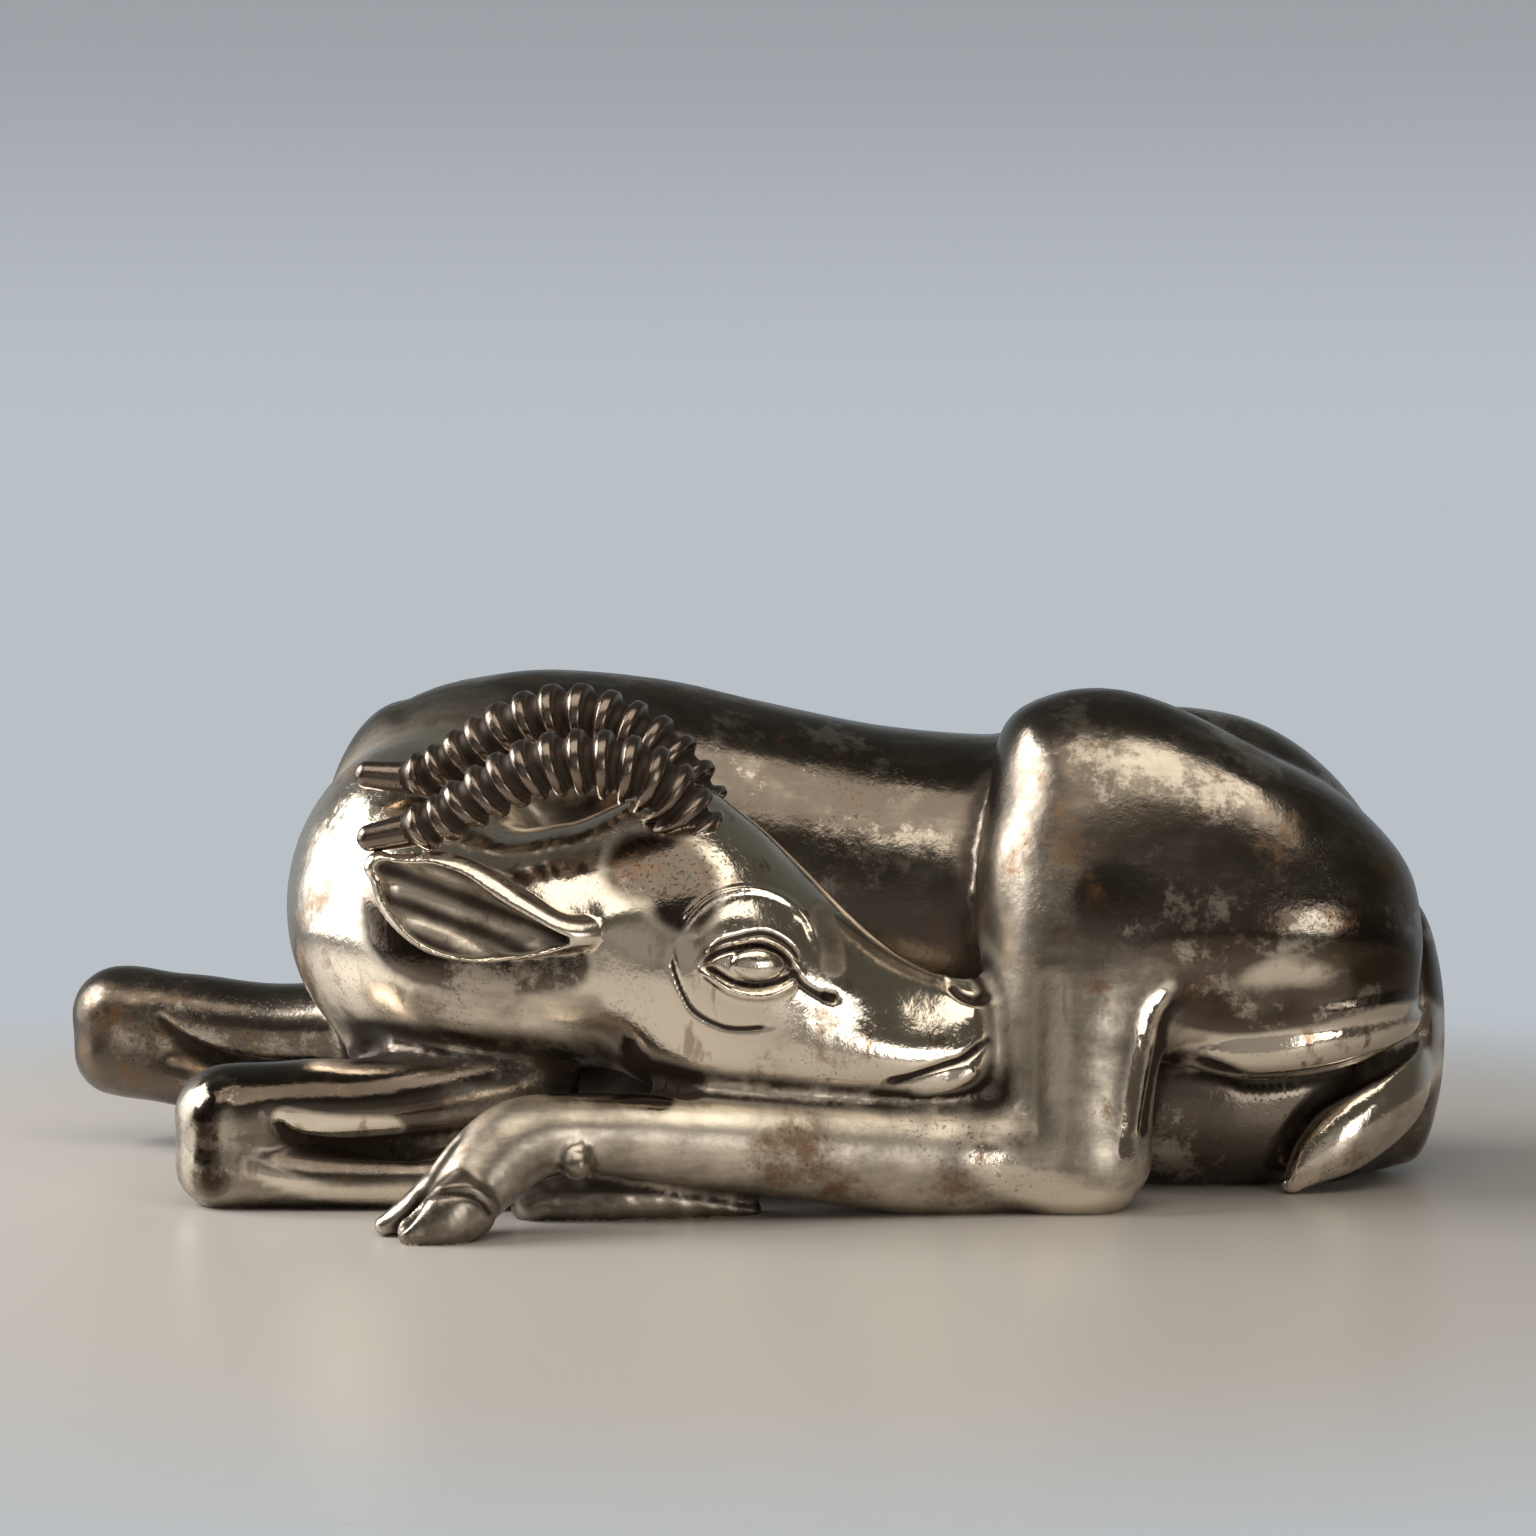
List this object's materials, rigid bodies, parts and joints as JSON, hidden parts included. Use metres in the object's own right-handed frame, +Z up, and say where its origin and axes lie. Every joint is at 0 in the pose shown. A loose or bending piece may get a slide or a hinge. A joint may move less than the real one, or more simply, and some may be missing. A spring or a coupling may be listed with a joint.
{
  "type": "antelope sculpture",
  "caption": "Recumbent antelope figure in polished cast metal, its ringed horns laid back and its head turned round to rest on a folded hind leg.",
  "frame": {"origin": "middle of the flat underside, at the centre of the bounding box seen from above", "axes": "+X from the folded knees towards the rump, along the body; -Y towards the side where the head lies; +Z up"},
  "size_m": [0.6526, 0.346, 0.2329],
  "materials": {
    "silvered_bronze": "polished and tarnished, with brown-black patina in the recesses"
  },
  "bodies": {
    "root": {"antelope": "silvered_bronze"}
  },
  "joints": []
}
